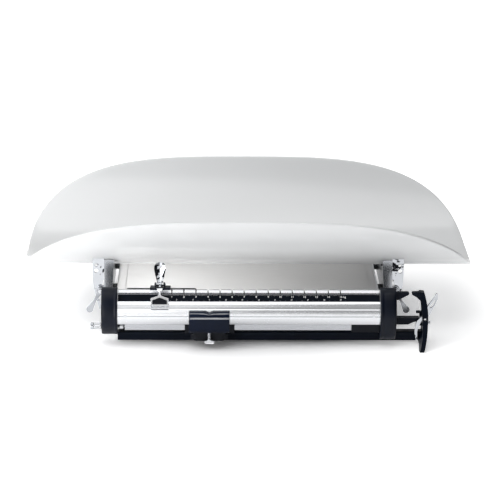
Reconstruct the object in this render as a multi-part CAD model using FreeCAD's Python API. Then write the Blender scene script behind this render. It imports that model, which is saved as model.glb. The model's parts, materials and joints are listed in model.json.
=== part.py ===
import FreeCAD, Part
import math
import os
from FreeCAD import Vector

# A baby scale with a trough tray on a low lever base, and a weighing beam with two sliding poises
# along its front. Millimetres: X to the reader's right, Y away from the reader, Z up. Everything is
# laid out about the middle of the tray, then moved back by MIDDLE_SHIFT when it is written, so that
# the origin lies on the floor under the middle of the whole scale.

# Tray: a sheet bent round a long axis, its outline a rounded rectangle of the flat sheet
TRAY_HALF_LENGTH = 275.0
TRAY_BOTTOM_Z = 63.0
TRAY_FLAT_HALF = 19.0
TRAY_BEND_RADIUS = 135.0
TRAY_BEND_ANGLE = math.radians(68.2)
TRAY_WALL = 4.0
TRAY_CORNER_POWER = 3.3

# Base
FRONT_TOE_Y = -181.5
PAN_X = 155.0
PAN_Y = (-138.0, 120.0)
PAN_Z = (4.0, 16.0)
SHEET = 2.0
COVER_X = 160.0
COVER_Y = (-112.0, 122.5)
COVER_Z = (7.0, 44.0)
COVER_SHEET = 1.5
RAIL_Y = (-148.0, -138.0)
RAIL_Z = (2.5, 13.0)

# Lever work under the cover
KNIFE_X = (119.0, 129.0)
LONG_PIVOT_Y = 95.0
SHORT_PIVOT_Y = -95.0
LOAD_ARM = 20.0
PIVOT_Z = 18.0
LOAD_Z = 26.0
NOSE_Y = -127.0
LONG_ARM_X = (-139.0, -132.0)
KNIFE_GAP = 0.04

# Beam
FULCRUM_X = -28.0
LOAD_KNIFE_X = -67.0
BEAM_KNIFE_Z = 30.0
BEAM_HALF = 156.0
CAP_X = (155.5, 174.5)
BEAM_BACK_Y = -140.0
BEAM_FRONT_Y = -164.5
NOTCH_PITCH = 14.26
NOTCH_COUNT = 16
ZERO_X = -105.5
LOWER_BAR_X = (-147.0, 122.0)
LOWER_BAR_Y = (-157.5, -151.5)
LOWER_BAR_Z = (19.0, 26.5)

# Sliding poises
LOWER_POISE_X = (-71.0, -23.0)
LOWER_POISE_MID = -47.0
SCREW_Y = -171.0
UPPER_WEIGHT_X = (-146.0, -62.0)
LATCH_PIVOT = (-139.0, 70.2)
POINTER_LEAN = 36.0

# Indicator bracket and lock
BRACKET_X = (206.0, 212.0)
LOCK_PIVOT = (209.0, 33.0)
LOCK_Y = (-152.9, -149.5)

# Side cradles and tray clips
CRADLE_X = (165.0, 168.0)
CRADLE_HALF = 100.0
FLANGE_X = (160.0, 173.5)
CLIP_PIVOT = (178.0, 49.0)
CLIP_TIP = (193.0, 22.0)
PAD_THICKNESS = 2.0
TRAY_GAP = 0.3

PIN_CLEARANCE = 0.05

TRAY_HALF_DEPTH = TRAY_FLAT_HALF + TRAY_BEND_RADIUS * math.sin(TRAY_BEND_ANGLE)
SHEET_HALF = TRAY_FLAT_HALF + TRAY_BEND_RADIUS * TRAY_BEND_ANGLE
MIDDLE_SHIFT = -(TRAY_HALF_DEPTH + FRONT_TOE_Y) / 2.0

parts = {}


def box(x, y, z):
    """A block between pairs of limits."""
    return Part.makeBox(x[1] - x[0], y[1] - y[0], z[1] - z[0], Vector(x[0], y[0], z[0]))


def rod(start, end, radius):
    """A round bar from one point to another."""
    start = Vector(*start)
    end = Vector(*end)
    return Part.makeCylinder(radius, (end - start).Length, start, end - start)


def place(axis, level, first, second):
    """A point from its place along an axis and its two other coordinates in X, Y, Z order."""
    if axis == "x":
        return Vector(level, first, second)
    if axis == "y":
        return Vector(first, level, second)
    return Vector(first, second, level)


def prism(axis, limits, outline):
    """Extrude a closed outline along an axis. Three-number entries are arcs' middle points."""
    edges = []
    corners = [place(axis, limits[0], *point[:2]) for point in outline]
    count = len(outline)
    index = 0
    while index < count:
        following = (index + 1) % count
        if len(outline[following]) == 3:
            end = (index + 2) % count
            edges.append(Part.Arc(corners[index], corners[following], corners[end]).toShape())
            index += 2
        else:
            edges.append(Part.LineSegment(corners[index], corners[following]).toShape())
            index += 1
    face = Part.Face(Part.Wire(edges))
    return face.extrude(place(axis, limits[1] - limits[0], 0.0, 0.0))


def round_along(shape, axis, radius, wanted=lambda middle: True):
    """Round the straight edges that run along an axis and whose middle point is wanted."""
    direction = place(axis, 1.0, 0.0, 0.0)
    chosen = []
    for edge in shape.Edges:
        if not isinstance(edge.Curve, (Part.Line, Part.LineSegment)):
            continue
        run = edge.Vertexes[-1].Point - edge.Vertexes[0].Point
        middle = (edge.Vertexes[-1].Point + edge.Vertexes[0].Point) * 0.5
        if abs(run.normalize().dot(direction)) > 0.999 and wanted(middle):
            chosen.append(edge)
    return shape.makeFillet(radius, chosen)


def mirrored(shape):
    """The same shape on the other side of the middle plane."""
    return shape.mirror(Vector(0, 0, 0), Vector(1, 0, 0))


def both_sides(shape):
    """A shape and its mirror image as one group."""
    return Part.makeCompound([shape, mirrored(shape)])


def knife(axis, limits, apex, height, up):
    """A hardened prism whose sharp edge lies at apex; its body is below the edge when up is true."""
    across, edge_z = apex
    back_z = edge_z - height if up else edge_z + height
    half = height * math.tan(math.radians(30))
    return prism(axis, limits, [(across - half, back_z), (across + half, back_z), (across, edge_z)])


def groove(axis, limits, apex, height, up):
    """The wide V that a knife edge sits in, cut a hair past the edge."""
    across, edge_z = apex
    sign = -1.0 if up else 1.0
    tip = edge_z - sign * KNIFE_GAP
    far = edge_z + sign * height
    half = height * math.tan(math.radians(58))
    return prism(axis, limits, [(across - half, far), (across + half, far), (across, tip)])


def trough(offset, half_length):
    """The filled space above the tray's outer surface, moved outwards by offset."""
    radius = TRAY_BEND_RADIUS + offset
    middle_z = TRAY_BOTTOM_Z + TRAY_BEND_RADIUS
    side = TRAY_FLAT_HALF + radius
    low = middle_z - radius
    bend = radius * math.sqrt(0.5)
    outline = [
        (-side, middle_z + 60.0),
        (-side, middle_z),
        (-TRAY_FLAT_HALF - bend, middle_z - bend, "arc"),
        (-TRAY_FLAT_HALF, low),
        (TRAY_FLAT_HALF, low),
        (TRAY_FLAT_HALF + bend, middle_z - bend, "arc"),
        (side, middle_z),
        (side, middle_z + 60.0),
    ]
    return prism("x", (-half_length, half_length), outline)


def sheet_point(along, length, offset):
    """A point beside the bent sheet, that far along it from the middle and offset outwards from it."""
    reach = abs(length)
    angle = max(0.0, reach - TRAY_FLAT_HALF) / TRAY_BEND_RADIUS
    radius = TRAY_BEND_RADIUS + offset
    across = min(reach, TRAY_FLAT_HALF) + radius * math.sin(angle)
    height = TRAY_BOTTOM_Z + TRAY_BEND_RADIUS - radius * math.cos(angle)
    return Vector(along, math.copysign(across, length), height)


def tray_outline(offset):
    """The tray's rim as a smooth closed curve, from a rounded rectangle drawn on the flat sheet."""
    points = []
    steps = 96
    for step in range(steps):
        turn = 2.0 * math.pi * step / steps
        along = math.copysign(abs(math.cos(turn)) ** (2.0 / TRAY_CORNER_POWER), math.cos(turn))
        across = math.copysign(abs(math.sin(turn)) ** (2.0 / TRAY_CORNER_POWER), math.sin(turn))
        points.append(sheet_point(TRAY_HALF_LENGTH * along, SHEET_HALF * across, offset))
    curve = Part.BSplineCurve()
    curve.interpolate(Points=points, PeriodicFlag=True)
    return curve.toShape()


def make_tray():
    """White trough that the baby lies in, its rim cut square to the sheet."""
    shell = trough(0.0, 300.0).cut(trough(-TRAY_WALL, 310.0))
    cutter = Part.makeRuledSurface(tray_outline(6.0), tray_outline(-TRAY_WALL - 6.0))
    pieces = shell.generalFuse([cutter])[0].Solids
    parts["tray"] = min(pieces, key=lambda piece: piece.BoundBox.ZMax)


def make_straps():
    """Chromed straps screwed under the tray, which the clips pull down."""
    under = trough(0.0, 300.0)
    face_y = (-97.0, -94.5)
    plate = [
        (173.0, 105.0), (187.5, 105.0), (187.5, 60.0), (186.0, 50.0), (184.0, 46.0),
        (180.0, 46.0), (174.0, 62.0)]
    tail = [(186.0, 50.0), (182.5, 50.0), (177.6, 24.6), (180.2, 23.6)]
    foot_space = trough(2.5, 300.0).cut(under)
    for side, name in ((-1, "tray_strap_left"), (1, "tray_strap_right")):
        strap = prism("y", face_y, plate)
        strap = strap.fuse(box((173.0, 187.5), (-97.0, -76.0), (60.0, 110.0)).common(foot_space))
        if side < 0:
            strap = strap.fuse(prism("y", face_y, tail))
        strap = strap.cut(under)
        strap = strap.cut(rod((182.6, -99.0, 80.0), (182.6, -93.0, 80.0), 2.2))
        strap = strap.cut(rod((183.2, -99.0, 72.4), (183.2, -93.0, 72.4), 2.6))
        strap = strap.removeSplitter()
        parts[name] = mirrored(strap) if side < 0 else strap
    screw = rod((180.0, -84.0, 60.0), (180.0, -84.0, 105.0), 2.2)
    head_space = trough(4.4, 300.0).cut(trough(2.5, 300.0))
    parts["strap_screws"] = both_sides(screw.common(head_space))


def make_base():
    """Pressed pan, front rail, feet and the brushed cover."""
    inner_x = PAN_X - SHEET
    pan = box((-PAN_X, PAN_X), PAN_Y, PAN_Z)
    pan = round_along(pan, "z", 8.0, lambda middle: middle.y > 0)
    pan = pan.cut(box((-inner_x, inner_x), (PAN_Y[0] + SHEET, PAN_Y[1] - SHEET), (PAN_Z[0] + SHEET, 20.0)))
    parts["base_pan"] = pan

    rail = None
    for x, top in (((-156.0, 160.0), RAIL_Z[1]), ((160.0, BRACKET_X[0]), RAIL_Z[1] + 1.0)):
        bar = round_along(box(x, RAIL_Y, (RAIL_Z[0], top)), "x", 1.5, lambda middle: middle.y < -140)
        rail = rail.fuse(bar) if rail else bar
    parts["front_rail"] = rail

    parts["front_feet"] = both_sides(Part.makeCone(10.0, 8.5, PAN_Z[0], Vector(142.0, -126.0, 0.0)))
    parts["rear_feet"] = both_sides(Part.makeCone(10.0, 8.5, PAN_Z[0], Vector(135.0, 100.0, 0.0)))

    cover = box((-COVER_X, COVER_X), COVER_Y, COVER_Z)
    cover = round_along(cover, "z", 9.0)
    top_edges = [edge for edge in cover.Edges if edge.BoundBox.ZMin > COVER_Z[1] - 0.01]
    cover = cover.makeFillet(4.0, top_edges)
    hollow = box((-COVER_X + COVER_SHEET, COVER_X - COVER_SHEET),
                 (COVER_Y[0] + COVER_SHEET, COVER_Y[1] - COVER_SHEET), (0.0, COVER_Z[1] - COVER_SHEET))
    hollow = round_along(hollow, "z", 7.5)
    hollow = hollow.makeFillet(2.5, [edge for edge in hollow.Edges if edge.BoundBox.ZMin > COVER_Z[1] - 2.0])
    cover = cover.cut(hollow)
    for y in (-40.0, 40.0):
        cover = cover.cut(box((-170.0, 170.0), (y - 9.0, y + 9.0), (25.0, 39.0)))
    front_y = (COVER_Y[0] - 1.0, COVER_Y[0] + COVER_SHEET + 1.0)
    cover = cover.cut(box((-PAN_X - 0.5, PAN_X + 0.5), front_y, (0.0, PAN_Z[1] + 0.5)))
    cover = cover.cut(box((-144.0, -126.0), front_y, (0.0, 25.0)))
    screws = []
    for y in (-98.0, 108.0):
        for x in (-148.0, 148.0):
            cover = cover.cut(rod((x, y, 30.0), (x, y, 60.0), 1.5))
        post = rod((148.0, y, PAN_Z[0] + SHEET), (148.0, y, COVER_Z[1] - COVER_SHEET), 3.5)
        shank = rod((148.0, y, COVER_Z[1] - COVER_SHEET), (148.0, y, COVER_Z[1]), 1.5)
        head = Part.makeCone(3.0, 2.2, 1.2, Vector(148.0, y, COVER_Z[1]))
        screws.append(post.fuse(shank).fuse(head).removeSplitter())
    parts["base_cover"] = cover
    parts["cover_screws"] = both_sides(Part.makeCompound(screws))


def make_lever_bearings():
    """Hardened V blocks on the pan that the two levers rock on."""
    blocks = []
    for y in (LONG_PIVOT_Y, SHORT_PIVOT_Y):
        block = box((KNIFE_X[0] + 1.0, KNIFE_X[1] - 1.0), (y - 6.0, y + 6.0),
                    (PAN_Z[0] + SHEET, PIVOT_Z + 1.5))
        blocks.append(block.cut(groove("x", KNIFE_X, (y, PIVOT_Z), 4.0, False)))
    parts["lever_bearings"] = both_sides(Part.makeCompound(blocks))


def lever_core(pivot_y, load_y):
    """Cross shaft and end plates shared by both levers, with the knives as a second shape."""
    plates_y = (min(pivot_y, load_y) - 4.0, max(pivot_y, load_y) + 4.0)
    middle = (pivot_y + load_y) / 2.0
    core = box((-116.0, 116.0), (middle - 4.0, middle + 4.0), (17.5, 25.0))
    plate = box((116.0, KNIFE_X[0]), plates_y, (17.5, 26.0))
    core = core.fuse(plate).fuse(mirrored(plate)).removeSplitter()
    pivot = knife("x", KNIFE_X, (pivot_y, PIVOT_Z), 6.0, False)
    load = knife("x", KNIFE_X, (load_y, LOAD_Z), 6.0, True)
    knives = Part.makeCompound([pivot, load, mirrored(pivot), mirrored(load)])
    return core, knives


def make_levers():
    """The long and the short lever, the link between them and the link up to the beam."""
    core, knives = lever_core(LONG_PIVOT_Y, LONG_PIVOT_Y - LOAD_ARM)
    arm = box((LONG_ARM_X[0], -116.0), (80.0, 87.0), (17.5, 21.0))
    arm = arm.fuse(box(LONG_ARM_X, (NOSE_Y + 5.0, 87.0), (14.0, 21.0)))
    arm = arm.fuse(box((LONG_ARM_X[0], LOAD_KNIFE_X + 4.0), (NOSE_Y + 5.0, NOSE_Y + 12.0), (14.0, 20.0)))
    arm = arm.fuse(box((LOAD_KNIFE_X - 4.0, LOAD_KNIFE_X + 4.0), (NOSE_Y - 5.0, NOSE_Y + 6.0), (14.0, 20.0)))
    arm = arm.fuse(rod((LONG_ARM_X[1], 0.0, 17.0), (-126.0, 0.0, 17.0), 1.5))
    parts["long_lever"] = core.fuse(arm).removeSplitter()
    nose = knife("y", (NOSE_Y - 5.0, NOSE_Y + 5.0), (LOAD_KNIFE_X, 11.5), 2.5, False)
    parts["long_lever_knives"] = Part.makeCompound(knives.Solids + [nose])

    core, knives = lever_core(SHORT_PIVOT_Y, SHORT_PIVOT_Y + LOAD_ARM)
    arm = box((-124.0, -114.0), (-66.0, 4.0), (17.5, 23.0))
    arm = arm.fuse(box((-116.0, -108.0), (-85.0, -60.0), (17.5, 23.0)))
    arm = arm.fuse(box((-124.0, -119.5), (-4.0, 4.0), (8.0, 18.0)))
    arm = arm.fuse(rod((-124.0, 0.0, 10.5), (-130.5, 0.0, 10.5), 1.5))
    parts["short_lever"] = core.fuse(arm).removeSplitter()
    parts["short_lever_knives"] = knives

    link = prism("x", (-129.5, -127.0), [
        (-3.2, 10.5), (0.0, 7.3, "arc"), (3.2, 10.5), (3.2, 17.0), (0.0, 20.2, "arc"), (-3.2, 17.0)])
    for z in (10.5, 17.0):
        link = link.cut(rod((-132.0, 0.0, z), (-125.0, 0.0, z), 1.5 + 0.08))
    parts["lever_link"] = link

    ring_y = (NOSE_Y - 3.0, NOSE_Y + 3.0)
    middle = LOAD_KNIFE_X
    ring = round_along(box((middle - 9.0, middle + 9.0), ring_y, (7.8, 35.0)), "y", 3.0)
    opening = round_along(box((middle - 6.0, middle + 6.0), (-140.0, -110.0), (11.0, 31.5)), "y", 1.0)
    ring = ring.cut(opening)
    ring = ring.fuse(box((middle - 2.5, middle + 2.5), ring_y, (28.6, 32.0)))
    ring = ring.cut(groove("y", ring_y, (LOAD_KNIFE_X, BEAM_KNIFE_Z), 3.0, True))
    ring = ring.fuse(box((middle - 2.5, middle + 2.5), ring_y, (10.0, 12.4)))
    ring = ring.cut(groove("y", ring_y, (LOAD_KNIFE_X, 11.5), 2.0, False))
    parts["beam_link"] = ring.removeSplitter()


def make_carrier():
    """Frame that rests on the four load knives and carries the tray on two chromed cradles."""
    blocks = []
    for load_y in (LONG_PIVOT_Y - LOAD_ARM, SHORT_PIVOT_Y + LOAD_ARM):
        block = box((KNIFE_X[0] + 1.0, KNIFE_X[1] - 1.0), (load_y - 6.0, load_y + 6.0), (LOAD_Z - 1.5, 30.0))
        block = block.cut(groove("x", KNIFE_X, (load_y, LOAD_Z), 4.0, True))
        blocks += [block, mirrored(block)]
    parts["carrier_bearings"] = Part.makeCompound(blocks)
    side_bar = box(KNIFE_X, (-88.0, 88.0), (30.0, 35.0))
    frame = side_bar.fuse(mirrored(side_bar))
    for y in (-40.0, 40.0):
        frame = frame.fuse(box((-CRADLE_X[0], CRADLE_X[0]), (y - 5.0, y + 5.0), (30.0, 35.0)))
    parts["carrier_frame"] = frame.removeSplitter()

    clear = trough(PAD_THICKNESS + TRAY_GAP, 300.0)
    pad_space = clear.cut(trough(TRAY_GAP, 300.0))
    pads = [box((163.5, 169.5), (y, y + 30.0), (60.0, 100.0)).common(pad_space) for y in (-76.0, 46.0)]
    parts["cradle_pads"] = both_sides(Part.makeCompound(pads))
    pivot_x, pivot_z = CLIP_PIVOT
    pin = rod((pivot_x, -104.6, pivot_z), (pivot_x, -97.2, pivot_z), 1.5)
    pin = pin.fuse(rod((pivot_x, -105.8, pivot_z), (pivot_x, -104.6, pivot_z), 2.6))
    parts["clip_pins"] = both_sides(pin)
    for side, name in ((-1, "left"), (1, "right")):
        plate = prism("x", CRADLE_X, [
            (-CRADLE_HALF, 100.0), (-CRADLE_HALF, 46.0), (-86.0, 28.0), (86.0, 28.0),
            (CRADLE_HALF, 46.0), (CRADLE_HALF, 100.0)])
        plate = round_along(plate, "x", 6.0, lambda middle: middle.z < 50)
        plate = plate.cut(clear)
        lug = prism("y", (-CRADLE_HALF, -97.5), [
            (166.0, 43.0), (178.0, 43.5), (183.5, 49.0, "arc"), (178.0, 54.5), (166.0, 55.0)])
        flange = prism("y", (-CRADLE_HALF, -97.5), [
            (FLANGE_X[0] + 4.0, 46.0), (FLANGE_X[1], 46.0), (FLANGE_X[1], 110.0), (FLANGE_X[0], 110.0)])
        cradle = plate.fuse(lug).fuse(flange.cut(clear)).removeSplitter()
        cradle = cradle.cut(rod((pivot_x, -101.0, pivot_z), (pivot_x, -96.0, pivot_z), 1.5))
        clip = clip_blade(CLIP_TIP)
        parts["cradle_" + name] = mirrored(cradle) if side < 0 else cradle
        parts["tray_clip_" + name] = mirrored(clip) if side < 0 else clip
    bolts = []
    for y in (-40.0, 40.0):
        bolts.append(rod((CRADLE_X[1], y, 32.5), (CRADLE_X[1] + 2.2, y, 32.5), 3.6))
    parts["cradle_bolts"] = both_sides(Part.makeCompound(bolts))


def clip_blade(tip):
    """Spoon-ended chromed blade that turns on its pin and swings out to free the tray."""
    pivot = Vector(CLIP_PIVOT[0], 0.0, CLIP_PIVOT[1])
    reach = Vector(tip[0], 0.0, tip[1]) - pivot
    along = Vector(reach).normalize()
    side = Vector(-along.z, 0.0, along.x)
    length = reach.Length

    def spot(run, offset):
        point = pivot + along * run + side * offset
        return (point.x, point.z)

    outline = [
        spot(-1.0, -3.6),
        spot(-4.2, 0.0) + ("arc",),
        spot(-1.0, 3.6),
        spot(length * 0.42, 1.5),
        spot(length * 0.78, 3.4),
        spot(length, 0.4) + ("arc",),
        spot(length * 0.8, -3.2),
        spot(length * 0.42, -1.2),
    ]
    blade = prism("y", (-103.8, -100.6), outline)
    bore = rod((pivot.x, -110.0, pivot.z), (pivot.x, -96.0, pivot.z), 1.5 + PIN_CLEARANCE)
    return blade.cut(bore)


def make_beam():
    """Hollow aluminium beam with its notched rail, scale strip, lower bar, caps and knives."""
    outline = [
        (-148.0, 61.0), (-151.0, 61.0), (-155.0, 54.8), (-156.5, 54.2),
        (-162.6, 47.4, "arc"), (BEAM_FRONT_Y, 38.9), (-163.6, 38.5), (BEAM_FRONT_Y, 38.1),
        (-164.0, 32.6, "arc"), (-161.5, 27.5), (-160.3, 27.5), (-159.9, 30.5),
        (BEAM_BACK_Y, 30.5), (BEAM_BACK_Y, 61.0), (-145.0, 61.0), (-145.0, 55.0), (-148.0, 55.0),
    ]
    body = prism("x", (-BEAM_HALF, BEAM_HALF), outline)
    core = [
        (-149.5, 53.0), (-153.5, 53.0), (-161.0, 45.0), (-162.0, 38.5), (-160.5, 32.5),
        (BEAM_BACK_Y - 2.0, 32.5), (BEAM_BACK_Y - 2.0, 53.0),
    ]
    body = body.cut(prism("x", (-200.0, 200.0), core))
    screws = [rod((x, BEAM_FRONT_Y - 0.5, 38.5), (x, -162.6, 38.5), 1.6) for x in (-146.0, 147.5)]
    parts["beam_screws"] = Part.makeCompound(screws)
    parts["beam_body"] = body.cut(parts["beam_screws"])

    rail = box((-BEAM_HALF, BEAM_HALF), (-148.0, -145.0), (55.0, 66.0))
    for index in range(NOTCH_COUNT):
        x = ZERO_X + index * NOTCH_PITCH
        notch = prism("y", (-150.0, -140.0), [
            (x - 1.1, 66.5), (x - 0.35, 63.6), (x + 0.35, 63.6), (x + 1.1, 66.5)])
        rail = rail.cut(notch)
    parts["notch_rail"] = rail

    strip = prism("x", (-BEAM_HALF + 1.0, BEAM_HALF - 1.0),
                  [(-148.6, 61.02), (-151.2, 61.45), (-155.6, 54.9), (-155.0, 54.83), (-151.0, 61.0)])
    parts["scale_strip"] = strip.cut(parts["beam_body"])

    bar = box(LOWER_BAR_X, LOWER_BAR_Y, LOWER_BAR_Z)
    hanger = box((LOWER_BAR_X[0], LOWER_BAR_X[0] + 4.0), LOWER_BAR_Y, (LOWER_BAR_Z[1], 30.5))
    parts["lower_bar"] = bar.fuse(hanger).removeSplitter()
    block = box((LOWER_BAR_X[1], CAP_X[0]), (-160.5, -150.0), (17.5, 27.0))
    block = block.fuse(box((LOWER_BAR_X[1], CAP_X[0]), (-158.5, -150.0), (27.0, 30.5)))
    parts["bar_end_block"] = block.removeSplitter()

    for side, bottom in ((-1, 12.5), (1, 6.4)):
        cap = prism("x", CAP_X, [
            (-138.5, 65.0), (-141.0, 67.4), (-148.0, 68.2), (-160.5, 62.0, "arc"), (-167.5, 51.0),
            (-171.0, 38.5, "arc"), (-167.5, 24.0), (-161.5, bottom + 5.0, "arc"), (-153.0, bottom),
            (-151.0, bottom), (-151.0, 21.5), (-138.5, 21.5)])
        seat = prism("x", (CAP_X[0] - 1.0, BEAM_HALF), outline)
        rail_seat = box((CAP_X[0] - 1.0, BEAM_HALF), (-148.0, -145.0), (55.0, 66.0))
        cap = cap.cut(seat).cut(rail_seat)
        if side < 0:
            cap = mirrored(cap)
            cap = cap.cut(rod((-180.0, -153.0, 22.5), (-150.0, -153.0, 22.5), 2.0 + PIN_CLEARANCE))
        parts["beam_cap_left" if side < 0 else "beam_cap_right"] = cap

    plate = box((FULCRUM_X - 7.0, FULCRUM_X + 7.0), (BEAM_BACK_Y, -138.4), (31.0, 39.0))
    fulcrum_yoke = plate.fuse(box((FULCRUM_X - 4.5, FULCRUM_X + 4.5), (BEAM_BACK_Y, -113.5), (35.0, 38.6)))
    plate = box((LOAD_KNIFE_X - 5.0, LOAD_KNIFE_X + 5.0), (BEAM_BACK_Y, -138.4), (21.0, 39.0))
    load_yoke = plate.fuse(box((LOAD_KNIFE_X - 4.0, LOAD_KNIFE_X + 4.0), (BEAM_BACK_Y, -118.0), (21.6, 25.0)))
    parts["beam_yokes"] = Part.makeCompound([fulcrum_yoke.removeSplitter(), load_yoke.removeSplitter()])
    fulcrum_knife = knife("y", (-137.5, -114.0), (FULCRUM_X, BEAM_KNIFE_Z), 5.0, False)
    load_knife = knife("y", (-137.5, -118.5), (LOAD_KNIFE_X, BEAM_KNIFE_Z), 5.0, True)
    parts["beam_knives"] = Part.makeCompound([fulcrum_knife, load_knife])

    parts["beam_pointer"] = prism("y", (-151.0, -146.0), [
        (CAP_X[1], 64.6), (189.0, 64.6), (190.0, 63.6), (189.6, 61.6), (178.0, 55.2), (CAP_X[1], 54.6)])
    parts["stop_arm"] = prism("y", (-148.2, -139.5), [
        (CAP_X[1], 31.3), (203.0, 31.3), (203.0, 27.6), (196.0, 26.0), (190.0, 23.0), (CAP_X[1], 23.0)])


def make_beam_stand():
    """Stand with two V bearings that the beam's fulcrum knife rocks on."""
    stand = box((FULCRUM_X - 14.0, FULCRUM_X + 14.0), (-136.0, -114.0), (PAN_Z[0] + SHEET, 9.0))
    bearings = []
    for y in ((-136.0, -130.0), (-121.0, -115.0)):
        stand = stand.fuse(box((FULCRUM_X - 8.0, FULCRUM_X + 8.0), y, (9.0, 26.0)))
        block = box((FULCRUM_X - 6.0, FULCRUM_X + 6.0), y, (26.0, 31.5))
        bearings.append(block.cut(groove("y", y, (FULCRUM_X, BEAM_KNIFE_Z), 3.0, False)))
    parts["fulcrum_stand"] = stand.removeSplitter()
    parts["fulcrum_bearings"] = Part.makeCompound(bearings)


def make_zero_adjuster():
    """Knob and threaded rod through the left cap, and the small weight that they move."""
    y, z = -153.0, 22.5
    inner_x = LOWER_BAR_X[0] - 0.2
    knob = rod((-184.0, y, z), (-175.0, y, z), 4.1)
    parts["zero_screw"] = knob.fuse(rod((-176.0, y, z), (inner_x, y, z), 2.0)).removeSplitter()
    parts["zero_knob_cap"] = rod((-188.0, y, z), (-184.0, y, z), 4.3)
    weight = rod((-153.8, y, z), (-148.8, y, z), 3.7)
    parts["zero_weight"] = weight.cut(rod((-160.0, y, z), (-140.0, y, z), 2.0 + PIN_CLEARANCE))


def make_lower_poise():
    """Block that slides along the lower bar and is clamped by a thumb screw."""
    x = LOWER_POISE_X
    body = prism("x", x, [
        (-165.4, 46.4), (-169.5, 46.4), (-174.6, 41.2), (-175.6, 38.8), (-176.0, 36.0),
        (-176.0, 24.5), (-174.0, 21.4), (-165.4, 21.4)])
    body = round_along(body, "z", 1.2)
    body = body.cut(prism("y", (-180.0, -160.0), [
        (LOWER_POISE_MID - 5.0, 47.0), (LOWER_POISE_MID - 0.6, 44.4), (LOWER_POISE_MID + 0.6, 44.4),
        (LOWER_POISE_MID + 5.0, 47.0)]))
    screw_space = rod((LOWER_POISE_MID, SCREW_Y, 10.0), (LOWER_POISE_MID, SCREW_Y, 30.0), 2.4 + PIN_CLEARANCE)
    parts["lower_poise_body"] = body.cut(screw_space)

    runner = box((-76.0, -17.0), (-159.3, -149.6), (16.2, 29.6))
    runner = runner.cut(box((-80.0, -10.0), (LOWER_BAR_Y[0] - 0.3, LOWER_BAR_Y[1] + 0.3),
                            (LOWER_BAR_Z[0] - 0.3, LOWER_BAR_Z[1] + 0.3)))
    parts["lower_poise_runner"] = runner
    neck = box((-66.0, -28.0), (-168.0, -159.3), (16.2, 21.4))
    foot = prism("z", (9.2, 16.2), [
        (-69.0, -150.5), (-69.0, -162.0), (-62.0, -167.5), (-32.0, -167.5), (-25.0, -162.0), (-25.0, -150.5)])
    foot = foot.fuse(neck).removeSplitter()
    foot = foot.cut(rod((LOWER_POISE_MID, SCREW_Y, 0.0), (LOWER_POISE_MID, SCREW_Y, 12.0), 6.9))
    parts["lower_poise_foot"] = foot

    screw = rod((LOWER_POISE_MID, SCREW_Y, 11.4), (LOWER_POISE_MID, SCREW_Y, 29.0), 2.4)
    head = round_along(box((LOWER_POISE_MID - 6.0, LOWER_POISE_MID + 6.0), (SCREW_Y - 2.2, SCREW_Y + 2.2),
                           (7.6, 11.4)), "y", 1.5)
    parts["clamp_screw"] = screw.fuse(head).removeSplitter()


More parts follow.
